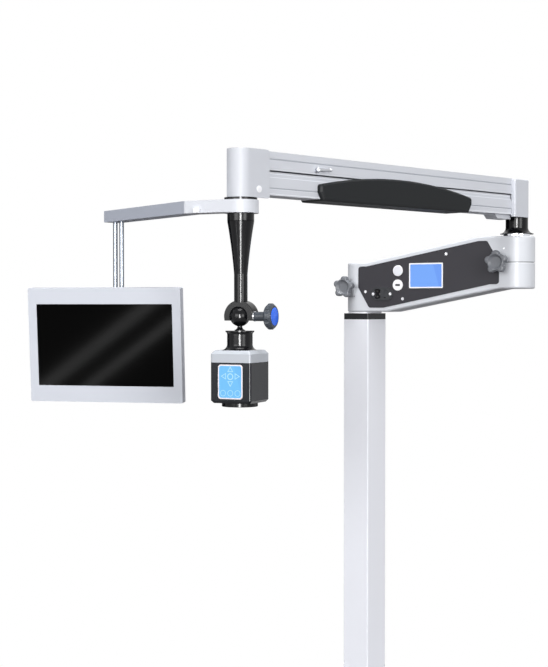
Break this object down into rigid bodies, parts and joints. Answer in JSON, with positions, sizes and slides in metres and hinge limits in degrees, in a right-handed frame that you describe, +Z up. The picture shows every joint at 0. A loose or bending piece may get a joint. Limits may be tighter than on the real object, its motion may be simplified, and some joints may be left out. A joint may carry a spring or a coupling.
{
  "type": "surgical microscope",
  "caption": "Surgical microscope on a mobile stand: swivelling control arm, balanced spring arm, camera head on a ball clamp and a tilting monitor on a side arm.",
  "frame": {"origin": "on the floor below the middle of the column", "axes": "+Z up the column, X and Y along the sides of the square base; at rest the control arm points 7.5 degrees left of +X and its fascia faces -Y"},
  "size_m": [0.8066, 1.3183, 1.782],
  "materials": {
    "stand_white": "satin paint",
    "cover_white": "smooth moulded",
    "iron": "primed casting",
    "castor_steel": "grey paint",
    "tyre_grey": "moulded",
    "steel": "machined",
    "bearing": "machined",
    "cast_white": "smooth white paint",
    "black_steel": "gloss black",
    "black_alloy": "gloss black",
    "fascia_grey": "fine satin",
    "lcd_blue": "lit display",
    "black_gloss": "polished",
    "contact": "plated",
    "board_green": "lacquered",
    "button_white": "smooth",
    "knob_grey": "smooth satin",
    "chrome_plate": "polished",
    "arm_silver": "metallic lacquer",
    "grip_black": "soft matte",
    "spring_steel": "oiled",
    "trim_white": "moulded",
    "monitor_white": "smooth moulded",
    "screen_black": "polished",
    "slate": "fine satin",
    "head_silver": "bright satin",
    "head_dark": "dark anodised",
    "touch_blue": "lit panel",
    "lens_glass": "coated"
  },
  "bodies": {
    "stand": {"base_casting": "iron", "base_cover": "cover_white", "column_tube": "stand_white", "column_bolts": "steel", "column_cap": "black_steel", "column_spindle": "steel"},
    "control_arm": {"control_arm_housing": "cast_white", "arm_bushes": "bearing", "fascia_plate": "fascia_grey", "arm_screws": "steel", "display_window": "lcd_blue", "usb_port": "button_white", "power_inlet": "black_gloss", "inlet_pins": "contact", "control_board": "board_green"},
    "power_button": {"power_button": "button_white"},
    "power_switch": {"power_switch": "black_gloss"},
    "column_brake_knob": {"column_brake_knob": "knob_grey"},
    "swivel_brake_knob": {"swivel_brake_knob": "knob_grey"},
    "spring_base": {"arm_post": "black_steel", "swivel_disc": "chrome_plate", "rear_knuckle": "arm_silver", "rear_pins": "steel"},
    "upper_link": {"upper_beam": "arm_silver"},
    "lock_lever": {"lift_lock_lever": "steel"},
    "lower_link": {"lower_beam": "arm_silver", "arm_grip": "grip_black", "balance_spring": "spring_steel"},
    "front_knuckle": {"front_knuckle": "arm_silver", "front_pins": "steel", "knuckle_plug": "trim_white", "drop_spindle": "black_steel"},
    "monitor_arm": {"monitor_arm": "cast_white", "cable_clip": "trim_white", "hanger_rods": "chrome_plate", "rod_foot": "arm_silver"},
    "tilt_yoke": {"tilt_yoke": "arm_silver"},
    "monitor": {"monitor_bezel": "monitor_white", "monitor_screen": "screen_black", "monitor_back": "monitor_white"},
    "drop_arm": {"drop_tube": "black_alloy", "clamp_housing": "black_alloy"},
    "clamp_knob": {"clamp_knob": "slate"},
    "ball_stem": {"ball_stem": "black_steel"},
    "head": {"spool_neck": "black_alloy", "head_cover": "head_silver", "head_body": "head_dark", "touch_panel": "touch_blue", "objective_ring": "black_alloy", "objective_lens": "lens_glass"},
    "castor_1": {"castor_fork_1": "castor_steel"},
    "wheel_1": {"castor_wheel_1": "tyre_grey"},
    "castor_2": {"castor_fork_2": "castor_steel"},
    "wheel_2": {"castor_wheel_2": "tyre_grey"},
    "castor_3": {"castor_fork_3": "castor_steel"},
    "wheel_3": {"castor_wheel_3": "tyre_grey"},
    "castor_4": {"castor_fork_4": "castor_steel"},
    "wheel_4": {"castor_wheel_4": "tyre_grey"},
    "pedal_1": {"brake_pedal_1": "castor_steel"},
    "pedal_2": {"brake_pedal_2": "castor_steel"}
  },
  "joints": [
    {"name": "castor_swivel_1", "type": "hinge", "parent": "stand", "child": "castor_1", "pos_m": [-0.235, -0.235, 0.1013], "axis": [0, 0, 1], "continuous": true},
    {"name": "wheel_roll_1", "type": "hinge", "parent": "castor_1", "child": "wheel_1", "pos_m": [-0.26131, -0.24458, 0.04], "axis": [0.342, -0.9397, 0], "continuous": true},
    {"name": "pedal_press_1", "type": "hinge", "parent": "castor_1", "child": "pedal_1", "pos_m": [-0.29024, -0.25511, 0.0794], "axis": [0.342, -0.9397, 0], "range_deg": [0, 12]},
    {"name": "castor_swivel_2", "type": "hinge", "parent": "stand", "child": "castor_2", "pos_m": [0.235, -0.235, 0.1013], "axis": [0, 0, 1], "continuous": true},
    {"name": "wheel_roll_2", "type": "hinge", "parent": "castor_2", "child": "wheel_2", "pos_m": [0.26131, -0.24458, 0.04], "axis": [0.342, 0.9397, 0], "continuous": true},
    {"name": "pedal_press_2", "type": "hinge", "parent": "castor_2", "child": "pedal_2", "pos_m": [0.29024, -0.25511, 0.0794], "axis": [0.342, 0.9397, 0], "range_deg": [0, 12]},
    {"name": "castor_swivel_3", "type": "hinge", "parent": "stand", "child": "castor_3", "pos_m": [0.235, 0.235, 0.1013], "axis": [0, 0, 1], "continuous": true},
    {"name": "wheel_roll_3", "type": "hinge", "parent": "castor_3", "child": "wheel_3", "pos_m": [0.26131, 0.24458, 0.04], "axis": [-0.342, 0.9397, 0], "continuous": true},
    {"name": "castor_swivel_4", "type": "hinge", "parent": "stand", "child": "castor_4", "pos_m": [-0.235, 0.235, 0.1013], "axis": [0, 0, 1], "continuous": true},
    {"name": "wheel_roll_4", "type": "hinge", "parent": "castor_4", "child": "wheel_4", "pos_m": [-0.26131, 0.24458, 0.04], "axis": [-0.342, -0.9397, 0], "continuous": true},
    {"name": "column_swivel", "type": "hinge", "parent": "stand", "child": "control_arm", "pos_m": [0, 0, 1.4538], "axis": [0, 0, 1], "range_deg": [-170, 170]},
    {"name": "power_press", "type": "slide", "parent": "control_arm", "child": "power_button", "axis": [-0.1305, 0.9914, 0], "range_m": [0, 0.0015], "stiffness_N_per_m": 900, "springref_m": -0.0008},
    {"name": "power_rock", "type": "hinge", "parent": "control_arm", "child": "power_switch", "pos_m": [0.09334, -0.02947, 1.5006], "axis": [0.9914, 0.1305, 0], "range_deg": [0, 14]},
    {"name": "column_knob_turn", "type": "hinge", "parent": "control_arm", "child": "column_brake_knob", "pos_m": [-0.01891, -0.04788, 1.5188], "axis": [0.1305, -0.9914, 0], "range_deg": [-180, 180]},
    {"name": "swivel_knob_turn", "type": "hinge", "parent": "control_arm", "child": "swivel_brake_knob", "pos_m": [0.40741, 0.00825, 1.577], "axis": [0.1305, -0.9914, 0], "range_deg": [-180, 180]},
    {"name": "arm_swivel", "type": "hinge", "parent": "control_arm", "child": "spring_base", "pos_m": [0.42632, 0.05613, 1.6423], "axis": [0, 0, 1], "range_deg": [-25, 150]},
    {"name": "arm_lift", "type": "hinge", "parent": "spring_base", "child": "upper_link", "pos_m": [0.42396, 0.03224, 1.762], "axis": [-0.9951, 0.0985, 0], "range_deg": [-25, 25]},
    {"name": "lever_turn", "type": "hinge", "parent": "upper_link", "child": "lock_lever", "pos_m": [0.35376, -0.67729, 1.7515], "axis": [0.9951, -0.0985, 0], "range_deg": [-10, 60]},
    {"name": "lower_beam_follow", "type": "hinge", "parent": "spring_base", "child": "lower_link", "pos_m": [0.42396, 0.03224, 1.702], "axis": [-0.9951, 0.0985, 0], "range_deg": [-25, 25]},
    {"name": "knuckle_level", "type": "hinge", "parent": "upper_link", "child": "front_knuckle", "pos_m": [0.33738, -0.84288, 1.762], "axis": [-0.9951, 0.0985, 0], "range_deg": [-25, 25]},
    {"name": "monitor_swing", "type": "hinge", "parent": "front_knuckle", "child": "monitor_arm", "pos_m": [0.33502, -0.86677, 1.654], "axis": [0, 0, 1], "range_deg": [-60, 150]},
    {"name": "drop_swivel", "type": "hinge", "parent": "front_knuckle", "child": "drop_arm", "pos_m": [0.33502, -0.86677, 1.6537], "axis": [0, 0, 1], "range_deg": [-170, 170]},
    {"name": "monitor_turn", "type": "hinge", "parent": "monitor_arm", "child": "tilt_yoke", "pos_m": [-0.06536, -0.82643, 1.3885], "axis": [0, 0, 1], "range_deg": [-90, 90]},
    {"name": "monitor_tilt", "type": "hinge", "parent": "tilt_yoke", "child": "monitor", "pos_m": [-0.04802, -0.86025, 1.3885], "axis": [0.8898, 0.4563, 0], "range_deg": [-8, 20]},
    {"name": "clamp_knob_turn", "type": "hinge", "parent": "drop_arm", "child": "clamp_knob", "pos_m": [0.3363, -0.87108, 1.4484], "axis": [0.9583, 0.2857, 0], "range_deg": [-180, 180]},
    {"name": "head_tilt", "type": "hinge", "parent": "drop_arm", "child": "ball_stem", "pos_m": [0.3363, -0.87108, 1.4484], "axis": [0.9583, 0.2857, 0], "range_deg": [-60, 30]},
    {"name": "head_spin", "type": "hinge", "parent": "ball_stem", "child": "head", "pos_m": [0.3363, -0.87108, 1.42], "axis": [0, 0, 1], "range_deg": [-170, 170]}
  ],
  "couplings": [
    {"joint": "lower_beam_follow", "follows": "arm_lift", "ratio": 1},
    {"joint": "knuckle_level", "follows": "arm_lift", "ratio": -1}
  ]
}
